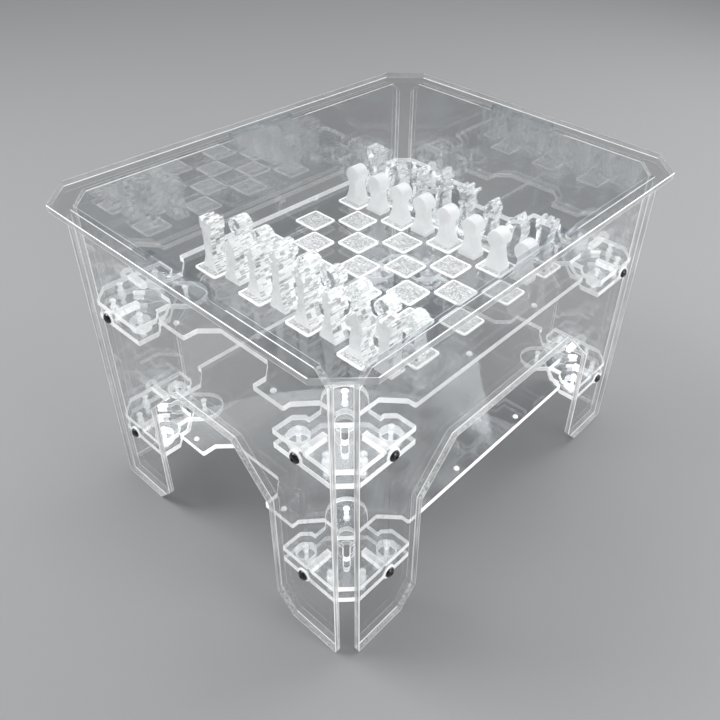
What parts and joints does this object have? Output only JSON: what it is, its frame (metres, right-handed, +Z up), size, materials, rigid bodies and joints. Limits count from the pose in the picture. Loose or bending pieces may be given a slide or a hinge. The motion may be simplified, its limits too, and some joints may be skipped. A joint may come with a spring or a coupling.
{
  "type": "chess table",
  "caption": "Clear acrylic side table with slotted panels, a frosted-square chessboard shelf with flat chessmen, a lower storage shelf and a lift-off top.",
  "frame": {"origin": "on the floor, under the middle of the top", "axes": "+X along the short side to the right seen from the front, +Y along the long side to the back, +Z up"},
  "size_m": [0.53, 0.676, 0.464],
  "materials": {
    "clear_sheet": "clear polished sheet with bright cut edges",
    "frosted_square": "frosted clear plastic, satin",
    "clear_bracket": "clear polished sheet with bright cut edges",
    "clear_hardware": "clear moulded plastic fastener",
    "black_screw": "black coated steel",
    "frosted_bar": "white frosted tapped bar",
    "frosted_piece": "frosted all over, satin",
    "clear_piece": "clear polished, cut edges frosted"
  },
  "bodies": {
    "table": {"panel_front": "clear_sheet", "panel_back": "clear_sheet", "panel_left": "clear_sheet", "panel_right": "clear_sheet", "board_shelf": "clear_sheet", "lower_shelf": "clear_sheet", "board_squares": "frosted_square", "bracket_plate_upper_front_left": "clear_bracket", "bracket_plate_upper_front_right": "clear_bracket", "bracket_plate_upper_back_left": "clear_bracket", "bracket_plate_upper_back_right": "clear_bracket", "bracket_base_plates_upper": "clear_bracket", "bracket_plate_lower_front_left": "clear_bracket", "bracket_plate_lower_front_right": "clear_bracket", "bracket_plate_lower_back_left": "clear_bracket", "bracket_plate_lower_back_right": "clear_bracket", "bracket_base_plates_lower": "clear_bracket", "bracket_discs": "clear_bracket", "bracket_posts": "clear_hardware", "bracket_bolts": "clear_hardware", "tongue_bolts": "clear_hardware", "clear_nuts": "clear_hardware", "shelf_studs": "clear_hardware", "panel_washers": "clear_hardware", "panel_screws": "black_screw", "panel_inserts": "frosted_bar"},
    "lift_top": {"top_plate": "clear_sheet"},
    "front_rook_1": {"front_rook_1": "frosted_piece"},
    "front_knight_2": {"front_knight_2": "frosted_piece"},
    "front_bishop_3": {"front_bishop_3": "frosted_piece"},
    "front_king_4": {"front_king_4": "frosted_piece"},
    "front_queen_5": {"front_queen_5": "frosted_piece"},
    "front_bishop_6": {"front_bishop_6": "frosted_piece"},
    "front_knight_7": {"front_knight_7": "frosted_piece"},
    "front_rook_8": {"front_rook_8": "frosted_piece"},
    "front_pawn_1": {"front_pawn_1": "clear_piece"},
    "front_pawn_2": {"front_pawn_2": "clear_piece"},
    "front_pawn_3": {"front_pawn_3": "clear_piece"},
    "front_pawn_4": {"front_pawn_4": "clear_piece"},
    "front_pawn_5": {"front_pawn_5": "clear_piece"},
    "front_pawn_6": {"front_pawn_6": "clear_piece"},
    "front_pawn_7": {"front_pawn_7": "clear_piece"},
    "front_pawn_8": {"front_pawn_8": "clear_piece"},
    "back_rook_1": {"back_rook_1": "clear_piece"},
    "back_knight_2": {"back_knight_2": "clear_piece"},
    "back_bishop_3": {"back_bishop_3": "clear_piece"},
    "back_king_4": {"back_king_4": "clear_piece"},
    "back_queen_5": {"back_queen_5": "clear_piece"},
    "back_bishop_6": {"back_bishop_6": "clear_piece"},
    "back_knight_7": {"back_knight_7": "clear_piece"},
    "back_rook_8": {"back_rook_8": "clear_piece"},
    "back_pawn_1": {"back_pawn_1": "frosted_piece"},
    "back_pawn_2": {"back_pawn_2": "frosted_piece"},
    "back_pawn_3": {"back_pawn_3": "frosted_piece"},
    "back_pawn_4": {"back_pawn_4": "frosted_piece"},
    "back_pawn_5": {"back_pawn_5": "frosted_piece"},
    "back_pawn_6": {"back_pawn_6": "frosted_piece"},
    "back_pawn_7": {"back_pawn_7": "frosted_piece"},
    "back_pawn_8": {"back_pawn_8": "frosted_piece"}
  },
  "joints": [
    {"name": "top_lift", "type": "slide", "parent": "table", "child": "lift_top", "axis": [0, 0, 1], "range_m": [0, 0.15]},
    {"name": "front_rook_1_lift", "type": "slide", "parent": "table", "child": "front_rook_1", "axis": [0, 0, 1], "range_m": [0, 0.03]},
    {"name": "front_knight_2_lift", "type": "slide", "parent": "table", "child": "front_knight_2", "axis": [0, 0, 1], "range_m": [0, 0.03]},
    {"name": "front_bishop_3_lift", "type": "slide", "parent": "table", "child": "front_bishop_3", "axis": [0, 0, 1], "range_m": [0, 0.03]},
    {"name": "front_king_4_lift", "type": "slide", "parent": "table", "child": "front_king_4", "axis": [0, 0, 1], "range_m": [0, 0.03]},
    {"name": "front_queen_5_lift", "type": "slide", "parent": "table", "child": "front_queen_5", "axis": [0, 0, 1], "range_m": [0, 0.03]},
    {"name": "front_bishop_6_lift", "type": "slide", "parent": "table", "child": "front_bishop_6", "axis": [0, 0, 1], "range_m": [0, 0.03]},
    {"name": "front_knight_7_lift", "type": "slide", "parent": "table", "child": "front_knight_7", "axis": [0, 0, 1], "range_m": [0, 0.03]},
    {"name": "front_rook_8_lift", "type": "slide", "parent": "table", "child": "front_rook_8", "axis": [0, 0, 1], "range_m": [0, 0.03]},
    {"name": "front_pawn_1_lift", "type": "slide", "parent": "table", "child": "front_pawn_1", "axis": [0, 0, 1], "range_m": [0, 0.03]},
    {"name": "front_pawn_2_lift", "type": "slide", "parent": "table", "child": "front_pawn_2", "axis": [0, 0, 1], "range_m": [0, 0.03]},
    {"name": "front_pawn_3_lift", "type": "slide", "parent": "table", "child": "front_pawn_3", "axis": [0, 0, 1], "range_m": [0, 0.03]},
    {"name": "front_pawn_4_lift", "type": "slide", "parent": "table", "child": "front_pawn_4", "axis": [0, 0, 1], "range_m": [0, 0.03]},
    {"name": "front_pawn_5_lift", "type": "slide", "parent": "table", "child": "front_pawn_5", "axis": [0, 0, 1], "range_m": [0, 0.03]},
    {"name": "front_pawn_6_lift", "type": "slide", "parent": "table", "child": "front_pawn_6", "axis": [0, 0, 1], "range_m": [0, 0.03]},
    {"name": "front_pawn_7_lift", "type": "slide", "parent": "table", "child": "front_pawn_7", "axis": [0, 0, 1], "range_m": [0, 0.03]},
    {"name": "front_pawn_8_lift", "type": "slide", "parent": "table", "child": "front_pawn_8", "axis": [0, 0, 1], "range_m": [0, 0.03]},
    {"name": "back_rook_1_lift", "type": "slide", "parent": "table", "child": "back_rook_1", "axis": [0, 0, 1], "range_m": [0, 0.03]},
    {"name": "back_knight_2_lift", "type": "slide", "parent": "table", "child": "back_knight_2", "axis": [0, 0, 1], "range_m": [0, 0.03]},
    {"name": "back_bishop_3_lift", "type": "slide", "parent": "table", "child": "back_bishop_3", "axis": [0, 0, 1], "range_m": [0, 0.03]},
    {"name": "back_king_4_lift", "type": "slide", "parent": "table", "child": "back_king_4", "axis": [0, 0, 1], "range_m": [0, 0.03]},
    {"name": "back_queen_5_lift", "type": "slide", "parent": "table", "child": "back_queen_5", "axis": [0, 0, 1], "range_m": [0, 0.03]},
    {"name": "back_bishop_6_lift", "type": "slide", "parent": "table", "child": "back_bishop_6", "axis": [0, 0, 1], "range_m": [0, 0.03]},
    {"name": "back_knight_7_lift", "type": "slide", "parent": "table", "child": "back_knight_7", "axis": [0, 0, 1], "range_m": [0, 0.03]},
    {"name": "back_rook_8_lift", "type": "slide", "parent": "table", "child": "back_rook_8", "axis": [0, 0, 1], "range_m": [0, 0.03]},
    {"name": "back_pawn_1_lift", "type": "slide", "parent": "table", "child": "back_pawn_1", "axis": [0, 0, 1], "range_m": [0, 0.03]},
    {"name": "back_pawn_2_lift", "type": "slide", "parent": "table", "child": "back_pawn_2", "axis": [0, 0, 1], "range_m": [0, 0.03]},
    {"name": "back_pawn_3_lift", "type": "slide", "parent": "table", "child": "back_pawn_3", "axis": [0, 0, 1], "range_m": [0, 0.03]},
    {"name": "back_pawn_4_lift", "type": "slide", "parent": "table", "child": "back_pawn_4", "axis": [0, 0, 1], "range_m": [0, 0.03]},
    {"name": "back_pawn_5_lift", "type": "slide", "parent": "table", "child": "back_pawn_5", "axis": [0, 0, 1], "range_m": [0, 0.03]},
    {"name": "back_pawn_6_lift", "type": "slide", "parent": "table", "child": "back_pawn_6", "axis": [0, 0, 1], "range_m": [0, 0.03]},
    {"name": "back_pawn_7_lift", "type": "slide", "parent": "table", "child": "back_pawn_7", "axis": [0, 0, 1], "range_m": [0, 0.03]},
    {"name": "back_pawn_8_lift", "type": "slide", "parent": "table", "child": "back_pawn_8", "axis": [0, 0, 1], "range_m": [0, 0.03]}
  ]
}
